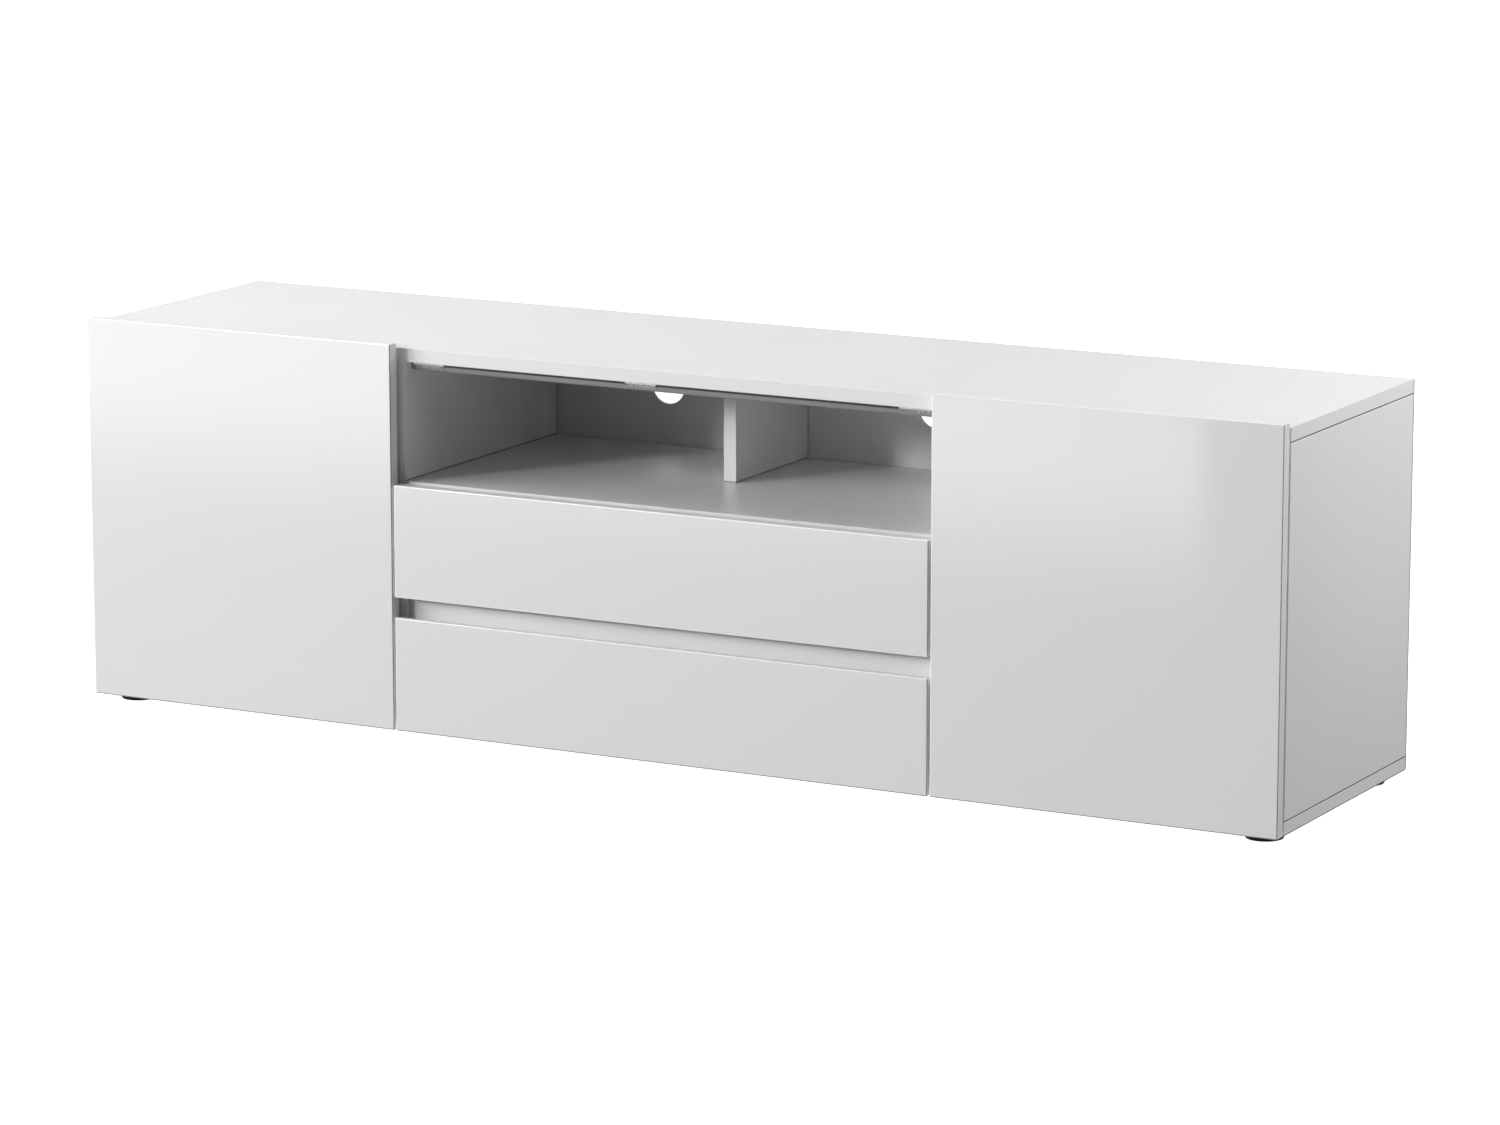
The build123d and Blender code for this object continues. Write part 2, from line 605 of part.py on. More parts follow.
def write_latches():
    """Both push latches. Returns the screws driven into the dividers."""
    fixings = latch_screws()
    write("latch_housings", both_sides([drill(latch_housing(), fixings)]))
    plunger = latch_plunger()
    write("right_latch_plunger", plunger)
    write("left_latch_plunger", mirrored(plunger))
    return both_sides(fixings)


# ---- writing the drawers ---------------------------------------------------------------------
def drawer_front(low, high, grip_edge):
    """A front whose rear edge at the grip gap, at the height grip_edge, is bevelled."""
    half = DRAWER_FRONT_WIDTH / 2
    plain = board((-half, half), (FRONT_Y, FRONT_REAR), (low, high), FRONT_ROUND)
    towards_middle = -1 if grip_edge == high else 1
    past = 1.0
    bevel = GRIP_BEVEL + past
    wedge = Polyline(
        (FRONT_REAR - GRIP_BEVEL - past, grip_edge - towards_middle * past),
        (FRONT_REAR + past, grip_edge - towards_middle * past),
        (FRONT_REAR + past, grip_edge + towards_middle * bevel),
        close=True,
    )
    return plain - extrude(Plane.YZ * make_face(wedge), half + past, both=True)


def write_drawer(name, box_z, low, high, grip_edge):
    """One drawer with its members of the runners. Returns its cabinet member and their screws."""
    front_y = FRONT_REAR
    rear_y = front_y + BOX_LENGTH
    top = box_z + BOX_HEIGHT
    inner = BOX_X - BOX_BOARD
    groove = inner + BOTTOM_GROOVE
    sheet_z = (box_z + BOTTOM_INSET, box_z + BOTTOM_INSET + SHEET)
    sheet = block((-groove, groove), (front_y - BOTTOM_GROOVE, rear_y), sheet_z)
    runner_z = box_z + BOX_HEIGHT / 2

    cam_depth = 10.0
    cams = []
    pockets = []
    corner_screws = []
    for height in (sheet_z[1] + 20.0, top - 20.0):
        centre = (inner, front_y + CAM_EDGE, height)
        cams.append(cam_lock(centre, "+X", cam_depth))
        pockets.append(rod(centre, "+X", CAM_RADIUS, cam_depth))
        corner = (BOX_X, rear_y - BOX_BOARD / 2, height)
        corner_screws.append(screw(corner, "-X", 2.0, 40.0, 3.4, 1.0))
    web_face = BOX_X + RUNNER_STEEL
    web_screws = [
        screw((web_face, front_y + row, runner_z), "-X", 1.6, 10.0, 3.2, 1.2) for row in (46.0, 256.0)
    ]

    side = board((inner, BOX_X), (front_y, rear_y), (box_z, top))
    rear = board((-inner, inner), (rear_y - BOX_BOARD, rear_y), (sheet_z[1], top))
    write(f"{name}_front", drawer_front(low, high, grip_edge) - sheet)
    write(f"{name}_sides", both_sides([drill(side - sheet, pockets + corner_screws + web_screws)]))
    write(f"{name}_back", drill(rear, both_sides(corner_screws)))
    write(f"{name}_bottom", sheet)
    write(f"{name}_cams", both_sides(cams))
    write(f"{name}_screws", both_sides(corner_screws + web_screws))
    write(f"{name}_members", both_sides([drill(member(DRAWER_MEMBER, False, runner_z), web_screws)]))
    write(f"{name}_intermediates", both_sides([member(MIDDLE_MEMBER, True, runner_z)]))

    divider_screws = runner_screws(runner_z)
    return drill(member(CABINET_MEMBER, True, runner_z), divider_screws), divider_screws


def write_drawers():
    """Both drawers and their runners. Returns the screws driven into the dividers."""
    lower, lower_screws = write_drawer("lower_drawer", LOWER_BOX, BASE_Z, LOWER_TOP, LOWER_TOP)
    upper, upper_screws = write_drawer("upper_drawer", UPPER_BOX, UPPER_BASE, UPPER_TOP, UPPER_BASE)
    write("cabinet_runners", both_sides([lower, upper]))
    return both_sides(lower_screws + upper_screws)


os.makedirs("parts", exist_ok=True)
panel_screws = write_doors() + write_latches() + write_drawers()
write("panel_screws", panel_screws)
write_carcass(panel_screws)
write_light_rail()
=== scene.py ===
"""Looks of the TV stand: materials, small detail pieces, camera, floor and studio light."""
import json
import math

import bmesh
import bpy
from mathutils import Euler, Matrix, Vector


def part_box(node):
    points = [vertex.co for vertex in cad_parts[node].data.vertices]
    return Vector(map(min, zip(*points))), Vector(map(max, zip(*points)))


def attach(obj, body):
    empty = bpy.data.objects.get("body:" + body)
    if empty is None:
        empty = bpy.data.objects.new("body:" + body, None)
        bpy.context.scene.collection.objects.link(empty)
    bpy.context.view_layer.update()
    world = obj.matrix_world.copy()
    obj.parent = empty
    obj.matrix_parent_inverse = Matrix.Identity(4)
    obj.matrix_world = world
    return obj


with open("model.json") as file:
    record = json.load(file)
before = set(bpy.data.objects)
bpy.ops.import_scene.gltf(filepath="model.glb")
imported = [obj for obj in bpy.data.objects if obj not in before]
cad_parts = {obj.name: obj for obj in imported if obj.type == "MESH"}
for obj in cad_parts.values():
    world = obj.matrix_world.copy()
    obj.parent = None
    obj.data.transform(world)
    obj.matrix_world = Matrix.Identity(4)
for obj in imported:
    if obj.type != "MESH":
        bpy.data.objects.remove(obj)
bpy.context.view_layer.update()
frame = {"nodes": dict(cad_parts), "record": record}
nodes = frame["nodes"]
slots = {part["node"]: part["material_slot"] for part in frame["record"]["subparts"]}

FRONT_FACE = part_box("left_door")[0].y           # show face of the closed fronts
FRONT_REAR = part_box("left_door")[1].y           # rear face of the closed fronts
BACK_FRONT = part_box("back_left")[0].y           # niche side of the hardboard back
SIDE_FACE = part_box("right_side")[1].x           # outer face of the right side panel
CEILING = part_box("right_side")[1].z             # joint of the sides with the top panel
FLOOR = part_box("right_side")[0].z               # joint of the sides with the bottom panel
NICHE_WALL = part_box("right_divider")[0].x       # niche side of the right divider
NICHE_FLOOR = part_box("niche_shelf")[1].z        # upper face of the niche's shelf
STRIP_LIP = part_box("light_rail")[1].z - 0.0046  # lower edge of the painted shade line above the diffuser
SKIN = 0.0008                                   # depth of a board's end that a joint line may colour
LINE = 0.0006                                   # half the width of a dark line: painted shade in the board joints and niche corners, the foil's glue line on the fronts
EDGE = 0.0001                                   # how softly a coloured line ends


# ---- procedural materials --------------------------------------------------------------------
class Look:
    """A Principled material whose colour, roughness and relief vary over the piece's own space."""

    def __init__(self, name, **inputs):
        self.material = bpy.data.materials.new(name)
        self.material.use_nodes = True
        self.tree = self.material.node_tree
        self.shader = self.tree.nodes["Principled BSDF"]
        for name, value in inputs.items():
            socket = name.replace("_", " ").title().replace("Ior", "IOR")
            self.shader.inputs[socket].default_value = value

    def node(self, kind, settings=None, **links):
        """A new shader node with its settings, and its sockets linked or set."""
        made = self.tree.nodes.new("ShaderNode" + kind)
        for name, value in (settings or {}).items():
            setattr(made, name, value)
        for socket, value in links.items():
            target = made.inputs[socket.replace("_", " ").title()]
            if isinstance(value, bpy.types.NodeSocket):
                self.tree.links.new(value, target)
            else:
                target.default_value = value
        return made

    def place(self, stretch=(1.0, 1.0, 1.0)):
        """The piece's space, scaled along its axes."""
        where = self.node("TexCoord").outputs["Object"]
        return self.node("Mapping", Vector=where, Scale=stretch).outputs["Vector"]

    def noise(self, scale, detail=2.0, stretch=(1.0, 1.0, 1.0), roughness=0.5):
        made = self.node("TexNoise", Vector=self.place(stretch), Scale=scale, Detail=detail)
        made.inputs["Roughness"].default_value = roughness
        return made.outputs[0]

    def cells(self, scale, stretch=(1.0, 1.0, 1.0)):
        return self.node("TexVoronoi", Vector=self.place(stretch), Scale=scale).outputs["Distance"]

    def along(self, axis):
        """The coordinate along an axis of the piece's space."""
        return self.node("SeparateXYZ", Vector=self.node("TexCoord").outputs["Object"]).outputs[axis]

    def lean(self, axis):
        """The part of the piece's own normal that points along an axis."""
        return self.node("SeparateXYZ", Vector=self.node("TexCoord").outputs["Normal"]).outputs[axis]

    def beyond(self, axis, plane):
        """0 below a plane across an axis of the piece's space, and 1 past it."""
        return self.between(self.along(axis), 0.0, 1.0, plane, plane + 2 * EDGE)

    def math(self, operation, *values):
        made = self.node("Math", {"operation": operation})
        for index, value in enumerate(values):
            if isinstance(value, bpy.types.NodeSocket):
                self.tree.links.new(value, made.inputs[index])
            else:
                made.inputs[index].default_value = value
        return made.outputs[0]

    def near(self, axis, plane, half_width):
        """1 within half_width of a plane across an axis of the piece's space, and 0 beyond."""
        gap = self.math("ABSOLUTE", self.math("SUBTRACT", self.along(axis), plane))
        return self.between(gap, 1.0, 0.0, half_width, half_width + EDGE)

    def arris(self):
        """1 on rounded edges, where the piece's own normal leans between its axes, except to +X."""
        largest = self.highest([self.math("ABSOLUTE", self.lean(axis)) for axis in "XYZ"])
        rounded = self.between(largest, 1.0, 0.0, 0.85, 0.99)
        return self.math("MULTIPLY", rounded, self.between(self.lean("X"), 1.0, 0.0, 0.1, 0.3))

    def end_face(self):
        """1 on the faces that look along X, either way."""
        return self.between(self.math("ABSOLUTE", self.lean("X")), 0.0, 1.0, 0.7, 0.8)

    def top_face(self):
        """1 on the faces that look up."""
        return self.between(self.lean("Z"), 0.0, 1.0, 0.7, 0.8)

    def highest(self, masks):
        """The union of several masks."""
        union = masks[0]
        for mask in masks[1:]:
            union = self.math("MAXIMUM", union, mask)
        return union

    def end_lines(self, half_width, *levels):
        """1 on the end faces, within half_width of the level planes given."""
        reach = self.math("ABSOLUTE", self.along("X"))
        outside = self.between(reach, 0.0, 1.0, SIDE_FACE - SKIN, SIDE_FACE - SKIN + EDGE)
        lines = self.highest([self.near("Z", level, half_width) for level in levels])
        return self.math("MULTIPLY", outside, lines)

    def inner_lines(self):
        """1 in the fine shadow gaps along the back, and where the niche's walls meet its floor: the
        places where the laminate paints shade.
        """
        wall = NICHE_WALL + 3 * EDGE
        rise = 1.5 * LINE           # of the lower line's middle over the niche's floor
        inside = self.between(self.math("ABSOLUTE", self.along("X")), 1.0, 0.0, wall, wall + EDGE)
        low = self.math("MULTIPLY", inside, self.near("Z", NICHE_FLOOR + rise, LINE))
        return self.highest([low, self.near("Y", BACK_FRONT - SKIN, 1.5 * LINE)])

    def times(self, amount, a, b):
        """Multiplies colour a by colour b, to a constant amount."""
        made = self.node("Mix", {"data_type": "RGBA", "blend_type": "MULTIPLY"})
        made.inputs[0].default_value = amount
        self.tree.links.new(a, made.inputs[6])
        self.tree.links.new(b, made.inputs[7])
        return made.outputs[2]

    def between(self, factor, low, high, start=0.0, end=1.0):
        """Goes from low to high as the factor goes from start to end."""
        made = self.node("MapRange", Value=factor)
        for index, value in enumerate((start, end, low, high)):
            made.inputs[index + 1].default_value = value
        return made.outputs["Result"]

    def ramp(self, factor, *stops):
        """Colours along the factor, each given with its place."""
        made = self.node("ValToRGB", Fac=factor)
        made.color_ramp.elements[0].position = stops[0][0]
        made.color_ramp.elements[0].color = (*stops[0][1], 1.0)
        made.color_ramp.elements[1].position = stops[-1][0]
        made.color_ramp.elements[1].color = (*stops[-1][1], 1.0)
        for position, colour in stops[1:-1]:
            made.color_ramp.elements.new(position).color = (*colour, 1.0)
        return made.outputs["Color"]

    def mix(self, mask, a, b):
        """Colour a where the mask is 0, and b, linked or plain, where it is 1."""
        made = self.node("Mix", {"data_type": "RGBA"})
        self.tree.links.new(mask, made.inputs[0])
        self.tree.links.new(a, made.inputs[6])
        if isinstance(b, bpy.types.NodeSocket):
            self.tree.links.new(b, made.inputs[7])
        else:
            made.inputs[7].default_value = (*b, 1.0)
        return made.outputs[2]

    def drive(self, socket, value):
        self.tree.links.new(value, self.shader.inputs[socket])

    def relief(self, height, depth):
        """Adds bump of a depth in metres, on top of any relief already there."""
        before = self.shader.inputs["Normal"].links
        made = self.node("Bump", Height=height, Distance=depth, Strength=1.0)
        if before:
            self.tree.links.new(before[0].from_socket, made.inputs["Normal"])
        self.tree.links.new(made.outputs["Normal"], self.shader.inputs["Normal"])


def grey(level, warm=0.0):
    """A grey, with a little more red and less blue where warm is positive."""
    return (level * (1 + warm), level, level * (1 - warm))


def laminate(name, level=0.80):
    """Melamine-faced board: satin white with a fine pearl texture, painted highlights on its rounded
    edges and under its joints, and painted shade in its joints, along its bottom edge and in the niche's
    gaps and corners.
    """
    look = Look(name, Roughness=0.36)
    tone = look.noise(5.0, 3.0)
    fleck = look.noise(900.0, 1.0)
    base = look.ramp(tone, (0.3, grey(level * 0.992)), (0.7, grey(level * 1.008)))
    speck = look.ramp(fleck, (0.35, grey(0.985)), (0.65, grey(1.0)))
    drop = 0.0013               # from each joint to the middle of the painted highlight line below it
    # painted shade in the side joints, a painted highlight line under each, painted shade along the
    # bottom panel's lower end edge
    dark = look.end_lines(LINE, CEILING + EDGE, FLOOR + EDGE)
    light = look.end_lines(LINE - EDGE, CEILING - drop, FLOOR - drop)
    lower = look.end_lines(2 * LINE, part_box("bottom_panel")[0].z)
    # painted highlight on the rounded edges
    face = look.mix(look.arris(), look.times(1.0, base, speck), grey(0.95))
    # lays on the painted highlight under the joints, then painted shade in them, along the bottom edge
    # and in the back's gaps and niche corners
    for mask, level in ((light, 0.98), (dark, 0.06), (lower, 0.10), (look.inner_lines(), 0.22)):
        face = look.mix(mask, face, grey(level))
    look.drive("Base Color", face)
    look.drive("Roughness", look.between(look.noise(14.0, 3.0), 0.32, 0.42))
    look.relief(look.noise(1500.0, 2.0), 0.00001)
    look.relief(look.noise(160.0, 2.0), 0.00002)
    return look


RIM = 0.0012                # how far a painted highlight or shade rim reaches from its edge


def painted_highlight_rims(look):
    """1 along the drawer fronts' top and left edges, and along the right door's left edge, where a
    highlight is painted.
    """
    drawers = (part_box("upper_drawer_front"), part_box("lower_drawer_front"))
    low, high = drawers[0]
    middle = look.between(look.math("ABSOLUTE", look.along("X")), 1.0, 0.0, high.x, high.x + EDGE)
    tops = look.highest([look.near("Z", front[1].z, RIM) for front in drawers])
    lefts = look.highest([look.near("X", x, RIM) for x in (low.x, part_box("right_door")[0].x)])
    rims = look.highest([look.math("MULTIPLY", middle, tops), lefts])
    return look.math("MULTIPLY", rims, look.near("Y", FRONT_FACE, RIM))


def painted_shade_rims(look):
    """1 along the lower edges of the doors and of the lower drawer's front, where shade is painted."""
    fronts = (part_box("left_door"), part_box("lower_drawer_front"))
    lower = look.highest([look.near("Z", front[0].z, RIM) for front in fronts])
    return look.math("MULTIPLY", lower, look.near("Y", FRONT_FACE, RIM))


def gloss_lacquer(name):
    """High-gloss foil over the front and its ends, matt white on the rear and upper faces, with painted
    highlights on its rounded edges and its top and left rims, and painted shade on its lower rims.
    """
    look = Look(name, Roughness=0.3, Coat_Roughness=0.03, Coat_Ior=1.5)
    foil = 0.0009               # depth of the foil's edge behind the front face and before the rear one
    ends = look.end_face()
    glue = look.math("MULTIPLY", ends, look.near("Y", FRONT_FACE + foil, LINE))
    face = look.ramp(look.noise(4.0, 2.0), (0.3, grey(0.797)), (0.7, grey(0.805)))
    # the arris entry paints a highlight on the rounded edges
    for mask, level in ((ends, 0.93), (glue, 0.22), (look.arris(), 0.98)):
        face = look.mix(mask, face, grey(level))
    # painted highlight on the top and left rims, painted shade on the lower rims
    for mask, level in ((painted_highlight_rims(look), 1.0), (painted_shade_rims(look), 0.20)):
        face = look.mix(mask, face, grey(level))
    look.drive("Base Color", face)
    matt = look.highest([look.beyond("Y", FRONT_REAR - foil), look.top_face()])
    look.drive("Coat Weight", look.between(matt, 1.0, 0.0))
    look.drive("Roughness", look.between(look.noise(20.0, 2.0), 0.28, 0.36))
    look.relief(look.noise(110.0, 1.0), 0.000006)
    return look


def hardboard(name):
    """Painted white towards the room, bare brown fibre on its edges and rear face."""
    look = Look(name, Roughness=0.5)
    paint = look.ramp(look.noise(6.0, 3.0), (0.3, grey(0.785)), (0.7, grey(0.80)))
    fibre = look.noise(260.0, 6.0, (1.0, 1.0, 0.35), 0.7)
    board = look.ramp(
        fibre, (0.30, (0.155, 0.088, 0.045)), (0.5, (0.255, 0.155, 0.082)), (0.72, (0.36, 0.235, 0.135))
    )
    spots = look.cells(190.0, (1.0, 1.0, 0.4))
    fleck = look.ramp(spots, (0.05, (0.10, 0.055, 0.03)), (0.16, grey(1.0)))
    bare = look.beyond("Y", BACK_FRONT + 0.0006)
    look.drive("Base Color", look.mix(bare, paint, look.times(0.55, board, fleck)))
    look.drive("Roughness", look.between(bare, 0.42, 0.72))
    look.relief(look.noise(700.0, 4.0), 0.00003)
    return look


def beech(name):
    """Turned hardwood with a fine grain along Z."""
    look = Look(name, Roughness=0.55)
    grain = look.noise(180.0, 4.0, (1.0, 1.0, 0.08))
    look.drive("Base Color", look.ramp(grain, (0.3, (0.42, 0.26, 0.14)), (0.7, (0.62, 0.43, 0.26))))
    look.relief(grain, 0.00008)
    return look


def metal(name, dull, bright, rough, stretch=(1.0, 1.0, 1.0), scale=60.0, pits=0.00001):
    """Plated, cast or extruded metal: patchy tone, and fine marks along the stretched axis."""
    look = Look(name, Metallic=1.0, Roughness=rough)
    look.drive("Base Color", look.ramp(look.noise(scale, 4.0), (0.3, dull), (0.7, bright)))
    marks = look.noise(scale * 12.0, 3.0, stretch)
    look.drive("Roughness", look.between(marks, rough * 0.75, rough * 1.3))
    look.relief(marks, pits)
    return look


def plastic(name, colour, rough, grain=1600.0, depth=0.00004, **inputs):
    """Moulded plastic with a fine spark-eroded grain."""
    look = Look(name, Roughness=rough, **inputs)
    pale = tuple(min(1.0, channel * 1.12 + 0.003) for channel in colour)
    look.drive("Base Color", look.ramp(look.noise(35.0, 3.0), (0.35, colour), (0.65, pale)))
    look.drive("Roughness", look.between(look.noise(90.0, 3.0), rough * 0.85, rough * 1.15))
    look.relief(look.noise(grain, 2.0), depth)
    return look


def light_board(name):
    """White flexible circuit board with a pair of copper pads at every cutting mark."""
    look = Look(name, Roughness=0.45)
    half_pitch = 0.0254
    pads = look.between(look.math("PINGPONG", look.along("X"), half_pitch), 1.0, 0.0, 0.0011, 0.0014)
    white = look.ramp(look.noise(80.0, 2.0), (0.3, grey(0.74)), (0.7, grey(0.80)))
    look.drive("Base Color", look.mix(pads, white, (0.62, 0.36, 0.16)))
    look.drive("Metallic", pads)
    look.relief(pads, 0.00004)
    return look


def diffuser(name):
    """Smoky frosted cover of the light, with a painted shade line along its upper edge."""
    look = Look(name, Roughness=0.45, Transmission_Weight=0.15)
    smoke = look.ramp(look.noise(60.0, 3.0, (0.1, 1.0, 1.0)), (0.3, grey(0.20)), (0.7, grey(0.26)))
    # painted shade: near black along the upper edge, under the top panel's front edge
    line = look.beyond("Z", STRIP_LIP)
    look.drive("Base Color", look.mix(line, smoke, grey(0.02)))
    look.drive("Roughness", look.between(look.noise(400.0, 2.0), 0.38, 0.52))
    look.relief(look.noise(1200.0, 2.0), 0.00002)
    return look


def spring_clip(name):
    """Clips of the light rail: a painted highlight along their upper edge, dull and rough below."""
    look = Look(name, Roughness=0.35)
    dull = look.ramp(look.noise(450.0, 4.0), (0.40, grey(0.10)), (0.60, grey(0.42)))
    glint = look.ramp(look.noise(700.0, 2.0), (0.36, grey(0.45)), (0.44, grey(1.0)))
    # painted highlight above the line, the clip's own dull grey below
    look.drive("Base Color", look.mix(look.beyond("Z", STRIP_LIP + 0.0012), dull, glint))
    look.relief(look.noise(500.0, 3.0), 0.00008)
    return look


LOOKS = {
    "white_laminate": laminate,
    "gloss_lacquer": gloss_lacquer,
    "drawer_laminate": lambda name: laminate(name, 0.79),
    "hardboard": hardboard,
    "beech": beech,
    "cast_zinc": lambda name: metal(name, grey(0.42), grey(0.55, -0.01), 0.48, pits=0.00004),
    "zinc_steel": lambda name: metal(name, grey(0.56, -0.02), grey(0.68, -0.01), 0.30, (1.0, 0.05, 1.0)),
    "nickel_steel": lambda name: metal(name, grey(0.60, 0.02), grey(0.70, 0.02), 0.20),
    "black_plastic": lambda name: plastic(name, grey(0.004), 0.60, Specular_Ior_Level=0.2),
    "grey_plastic": lambda name: plastic(name, grey(0.30), 0.45),
    "white_plastic": lambda name: plastic(name, grey(0.74), 0.40),
    "rail_aluminium": lambda name: metal(name, grey(0.05), grey(0.08), 0.38, (0.02, 1.0, 1.0)),
    "frosted_plastic": diffuser,
    "light_board": light_board,
}
looks = {slot: make(slot) for slot, make in LOOKS.items()}
clips = spring_clip("spring_clip")
for name, obj in nodes.items():
    obj.data.materials.clear()
    obj.data.materials.append((clips if name == "light_clips" else looks[slots[name]]).material)


# ---- small pieces the CAD leaves out ---------------------------------------------------------
def add_piece(name, mesh, slot, body, look=None):
    """A new piece that rides on a body, in its slot's finish or in a look of its own."""
    mesh.materials.append((look or looks[slot]).material)
    piece = bpy.data.objects.new(name, mesh)
    bpy.context.scene.collection.objects.link(piece)
    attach(piece, body)


def finish_mesh(name, shape, smooth=False):
    bmesh.ops.recalc_face_normals(shape, faces=shape.faces)
    for face in shape.faces:
        face.smooth = smooth
    mesh = bpy.data.meshes.new(name)
    shape.to_mesh(mesh)
    shape.free()
    return mesh


def prism(shape, outline, start, end):
    """Adds a solid with an (x, z) outline, from one y to another."""
    rings = [[shape.verts.new((x, y, z)) for x, z in outline] for y in (start, end)]
    shape.faces.new(rings[0])
    shape.faces.new(rings[1][::-1])
    count = len(outline)
    for i in range(count):
        j = (i + 1) % count
        shape.faces.new((rings[0][i], rings[0][j], rings[1][j], rings[1][i]))


def add_ball_cages(drawer):
    """Ball rows and their pressed cages, between the members of both runners of one drawer."""
    low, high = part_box(f"{drawer}_drawer_intermediates")
    middle = (low.z + high.z) / 2
    divider = high.x + 0.0045   # face of the divider that carries the runner
    ball = 0.00185              # radius of a ball
    sheet = 0.00025             # half the thickness of the cage's sheet
    pitch = 0.0125              # of the balls along a row
    margin = 0.005              # of the cage past the first and last ball
    lip = 0.0012                # of the cage past the row's middle
    # web and ball row from the divider, ball row from the middle height, first and last y
    rows = (
        (0.0032, 0.0070, 0.0194, 0.002, 0.127),
        (0.0064, 0.00885, 0.0144, -0.158, -0.033),
    )
    balls = bmesh.new()
    cages = bmesh.new()
    for side in (-1, 1):
        for web, row, rise, start, end in rows:
            outer, inner = side * (divider - web + sheet), side * (divider - web - sheet)
            tip = side * (divider - row - lip)
            outline = [
                (tip, middle + rise + sheet), (outer, middle + rise + sheet),
                (outer, middle - rise - sheet), (tip, middle - rise - sheet),
                (tip, middle - rise + sheet), (inner, middle - rise + sheet),
                (inner, middle + rise - sheet), (tip, middle + rise - sheet),
            ]
            prism(cages, outline, start - margin, end + margin)
            for i in range(round((end - start) / pitch) + 1):
                for sign in (-1, 1):
                    at = (side * (divider - row), start + i * pitch, middle + sign * rise)
                    bmesh.ops.create_icosphere(
                        balls, subdivisions=2, radius=ball, matrix=Matrix.Translation(at)
                    )
    body = f"{drawer}_runner_middles"
    add_piece(f"{drawer}_ball_cages", finish_mesh("cages", cages), "zinc_steel", body)
    add_piece(f"{drawer}_runner_balls", finish_mesh("balls", balls, True), "nickel_steel", body)


def add_light_chips():
    """Light chips on the strip behind the diffuser, each a chamfered body with a domed lens."""
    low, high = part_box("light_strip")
    middle = (low.z + high.z) / 2
    pitch = 1 / 60
    margin = 0.01               # left free along the strip, both ends together
    chip = (0.0035, 0.0008, 0.0028)
    chamfer = 0.00015
    dome = 0.0011               # radius of a lens
    flatness = 0.25             # height of a lens to its radius
    count = int((high.x - low.x - margin) / pitch)
    bodies = bmesh.new()
    lenses = bmesh.new()
    for i in range(count):
        x = (i - (count - 1) / 2) * pitch
        at = Matrix.Translation((x, low.y - chip[1] / 2, middle)) @ Matrix.Diagonal((*chip, 1.0))
        made = bmesh.ops.create_cube(bodies, size=1.0, matrix=at)
        edges = {edge for vert in made["verts"] for edge in vert.link_edges}
        bmesh.ops.bevel(bodies, geom=list(edges), offset=chamfer, segments=1, affect="EDGES")
        at = Matrix.Translation((x, low.y - chip[1], middle)) @ Matrix.Diagonal((1.0, flatness, 1.0, 1.0))
        bmesh.ops.create_uvsphere(lenses, u_segments=16, v_segments=8, radius=dome, matrix=at)
    add_piece("light_chips", finish_mesh("chips", bodies), "white_plastic", "carcass")
    phosphor = plastic("phosphor", (0.70, 0.52, 0.12), 0.35, depth=0.00001)
    add_piece("light_lenses", finish_mesh("lenses", lenses, True), "frosted_plastic", "carcass", phosphor)


# ---- camera ----------------------------------------------------------------------------------
CAMERA_AT = (3.177, -5.904, 1.569)
CAMERA_YAW = math.radians(28.117)
CAMERA_PITCH = math.radians(11.469)
LENS = 141.93


def make_camera():
    data = bpy.data.cameras.new("camera")
    data.lens = LENS
    data.sensor_width = 36.0
    data.clip_end = 200.0
    camera = bpy.data.objects.new("camera", data)
    bpy.context.scene.collection.objects.link(camera)
    camera.location = CAMERA_AT
    camera.rotation_euler = Euler((math.pi / 2 - CAMERA_PITCH, 0.0, CAMERA_YAW), "XYZ")
    bpy.context.scene.camera = camera


# ---- floor and studio light ------------------------------------------------------------------
# name: place, aimed at, width, height, power
SOFTBOXES = {
    "front_key": ((-6.72, -9.96, 3.45), (0.0, 0.0, 0.25), 1.2, 1.2, 415.0),
    "far_key": ((-9.70, -6.43, 3.00), (0.0, 0.0, 0.25), 6.0, 2.6, 876.0),
    "near_key": ((-2.40, -3.50, 1.90), (0.0, 0.0, 0.25), 1.0, 1.0, 17.6),
    "near_left": ((-1.90, -1.90, 0.90), (-0.6, 0.0, 0.25), 0.8, 0.6, 2.3),
    "side_near": ((1.80, 0.40, 1.40), (0.77, 0.10, 0.30), 0.6, 0.6, 3.3),
    "side_low": ((1.80, 0.40, 0.95), (0.77, 0.10, 0.30), 0.5, 0.5, 5.7),
    "side_mid": ((1.55, 0.30, 0.95), (0.77, 0.10, 0.35), 0.4, 0.4, 2.6),
    "side_front": ((2.20, -0.80, 1.90), (0.70, 0.00, 0.30), 1.0, 1.0, 5.2),
    "back_high": ((-2.60, 4.50, 3.00), (0.0, 0.0, 0.40), 6.0, 2.1, 68.0),
    "top_left": ((-1.20, -0.20, 1.80), (-0.8, 0.0, 0.4), 1.2, 1.2, 8.6),
    "top_far": ((-1.50, 0.50, 5.00), (-0.3, 0.0, 0.4), 2.0, 2.0, 102.0),
}
UNDERGLOW = 1.02            # brightness of the world straight below
AMBIENT = 0.034             # brightness of the world level and above
GLOW_END = -0.60            # z of a direction where the underglow starts to fade,
DIM_START = -0.40           # and where only the dim room is left


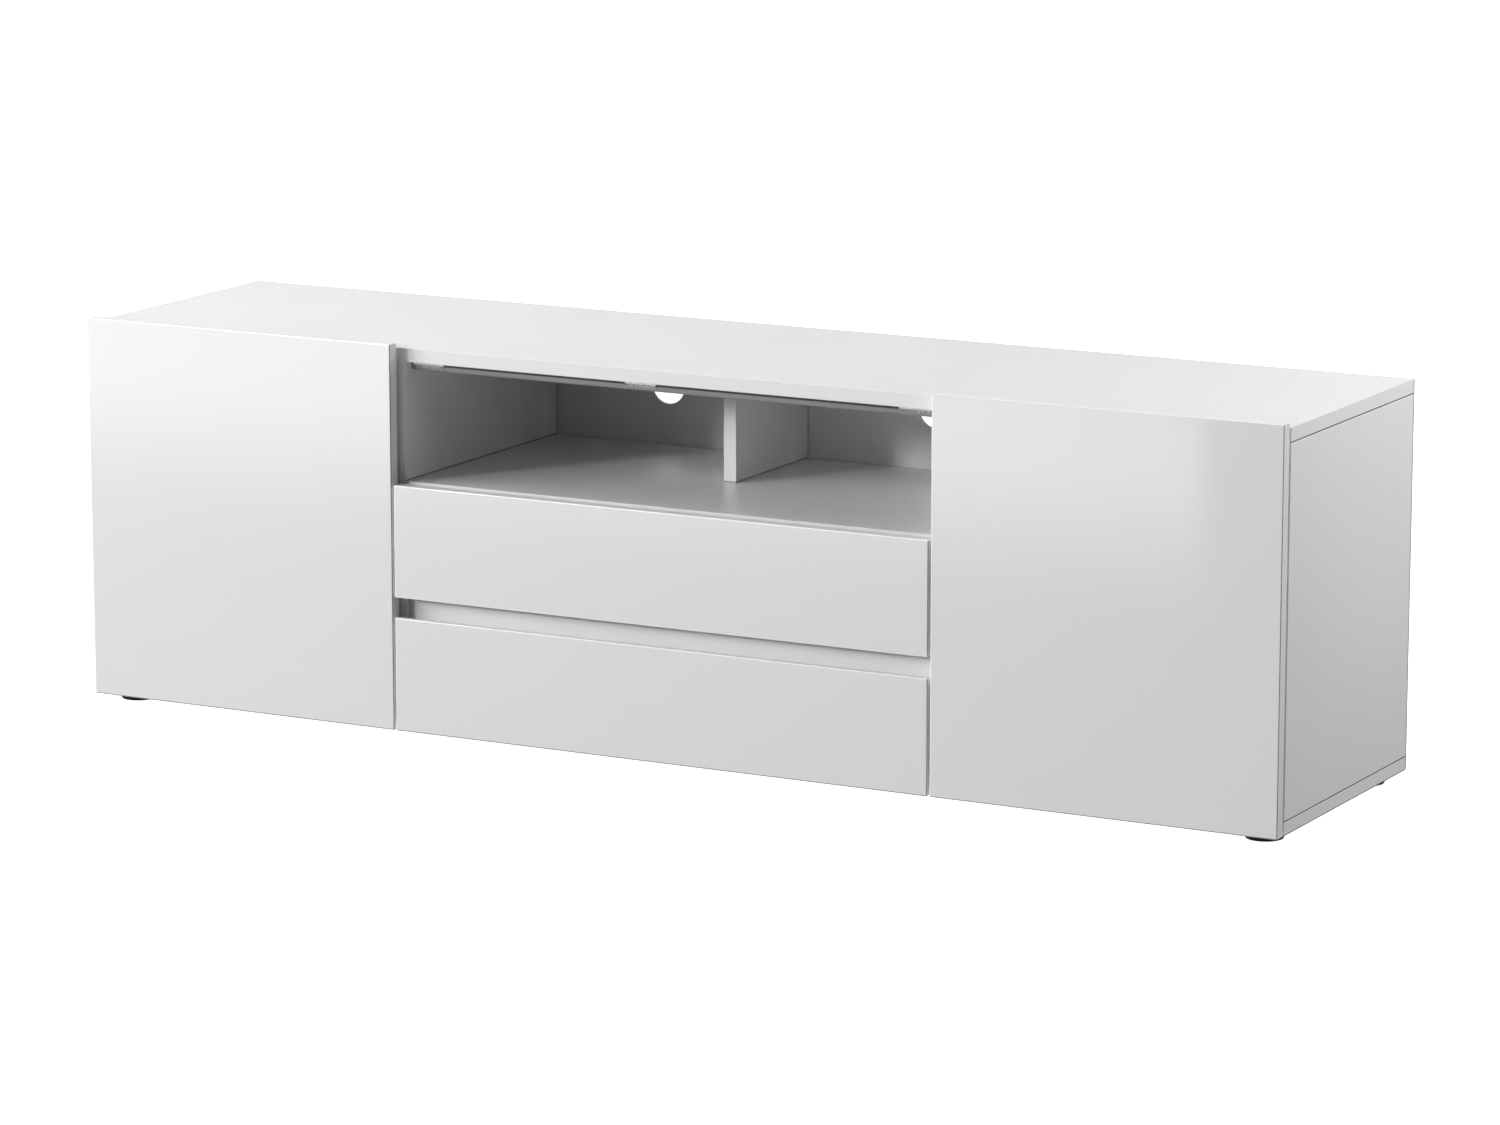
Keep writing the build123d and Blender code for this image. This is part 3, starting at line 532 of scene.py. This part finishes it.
def studio():
    """Softboxes for the light, and a world that stands for a bright floor and a dim room."""
    scene = bpy.context.scene
    scene.view_settings.view_transform = "Standard"
    world = bpy.data.worlds.new("studio")
    scene.world = world
    world.use_nodes = True
    tree = world.node_tree
    where = tree.nodes.new("ShaderNodeTexCoord")
    split = tree.nodes.new("ShaderNodeSeparateXYZ")
    ramp = tree.nodes.new("ShaderNodeMapRange")
    tree.links.new(where.outputs["Generated"], split.inputs[0])
    tree.links.new(split.outputs["Z"], ramp.inputs["Value"])
    for index, value in enumerate((GLOW_END, DIM_START, UNDERGLOW, AMBIENT)):
        ramp.inputs[index + 1].default_value = value
    tree.links.new(ramp.outputs["Result"], tree.nodes["Background"].inputs["Strength"])
    tree.nodes["Background"].inputs["Color"].default_value = (1.0, 1.0, 1.0, 1.0)
    for name, (place, target, width, height, power) in SOFTBOXES.items():
        data = bpy.data.lights.new(name, "AREA")
        data.shape = "RECTANGLE"
        data.size = width
        data.size_y = height
        data.energy = power
        box = bpy.data.objects.new(name, data)
        scene.collection.objects.link(box)
        box.location = place
        box.rotation_euler = (Vector(target) - Vector(place)).to_track_quat("-Z", "Y").to_euler()
        box.visible_camera = False


def stage_plane(name, corners, look):
    mesh = bpy.data.meshes.new(name)
    mesh.from_pydata(corners, [], [tuple(range(len(corners)))])
    mesh.materials.append(look)
    plane = bpy.data.objects.new(name, mesh)
    bpy.context.scene.collection.objects.link(plane)
    plane.visible_diffuse = False
    plane.visible_shadow = False
    plane.visible_transmission = False
    return plane


def floor():
    """A plain white floor that the camera sees, and that neither lights nor shades the object."""
    half = 40.0
    look = Look("floor_white", Roughness=0.7, Emission_Strength=0.985)
    look.drive("Base Color", look.ramp(look.noise(3.0, 3.0), (0.3, grey(0.44)), (0.7, grey(0.46))))
    look.shader.inputs["Emission Color"].default_value = (1.0, 1.0, 1.0, 1.0)
    corners = [(-half, -half, 0.0), (half, -half, 0.0), (half, half, 0.0), (-half, half, 0.0)]
    plane = stage_plane("floor", corners, look.material)
    plane.visible_glossy = False


CARD_PEAK = 2.65            # brightness of the card that the gloss fronts reflect
CARD_NEAR = -1.15           # y where the card starts to glow in front of the object
CARD_FULL = -2.30           # y of its full glow
CARD_LIMIT = 0.67           # x where its right edge, carried on, meets the plane of the fronts
CARD_SLOPE = 0.403 / 0.915  # of that edge, in x for each metre towards the rear
CARD_DEPTH = -0.01          # z of the card, just under the floor


def reflection_card():
    """A glowing card under the floor that only reflections see, with a soft edge on its right."""
    card = bpy.data.materials.new("card")
    card.use_nodes = True
    tree = card.node_tree
    tree.nodes.clear()
    out = tree.nodes.new("ShaderNodeOutputMaterial")
    glow = tree.nodes.new("ShaderNodeEmission")
    where = tree.nodes.new("ShaderNodeTexCoord")
    split = tree.nodes.new("ShaderNodeSeparateXYZ")
    depth = tree.nodes.new("ShaderNodeMapRange")
    edge = tree.nodes.new("ShaderNodeMapRange")
    skew = tree.nodes.new("ShaderNodeMath")
    both = tree.nodes.new("ShaderNodeMath")
    skew.operation = "MULTIPLY_ADD"
    both.operation = "MULTIPLY"
    depth.interpolation_type = "SMOOTHSTEP"
    edge.interpolation_type = "SMOOTHSTEP"
    tree.links.new(where.outputs["Object"], split.inputs[0])
    tree.links.new(split.outputs["Y"], depth.inputs["Value"])
    for index, value in enumerate((CARD_NEAR, CARD_FULL, 0.0, CARD_PEAK)):
        depth.inputs[index + 1].default_value = value
    # x - CARD_SLOPE * y is the same all along the card's right edge
    tree.links.new(split.outputs["Y"], skew.inputs[0])
    skew.inputs[1].default_value = -CARD_SLOPE
    tree.links.new(split.outputs["X"], skew.inputs[2])
    tree.links.new(skew.outputs[0], edge.inputs["Value"])
    limit = CARD_LIMIT - CARD_SLOPE * FRONT_FACE
    for index, value in enumerate((limit - 0.03, limit + 0.04, 1.0, 0.0)):
        edge.inputs[index + 1].default_value = value
    tree.links.new(depth.outputs["Result"], both.inputs[0])
    tree.links.new(edge.outputs["Result"], both.inputs[1])
    tree.links.new(both.outputs[0], glow.inputs["Strength"])
    tree.links.new(glow.outputs[0], out.inputs["Surface"])
    left, right, rear, front = -6.0, 2.0, -0.8, -4.0
    outline = ((left, rear), (right, rear), (right, front), (left, front))
    corners = [(x, y, CARD_DEPTH) for x, y in outline]
    plane = stage_plane("reflection_card", corners, card)
    plane.visible_camera = False


add_ball_cages("upper")
add_ball_cages("lower")
add_light_chips()
make_camera()
studio()
floor()
reflection_card()
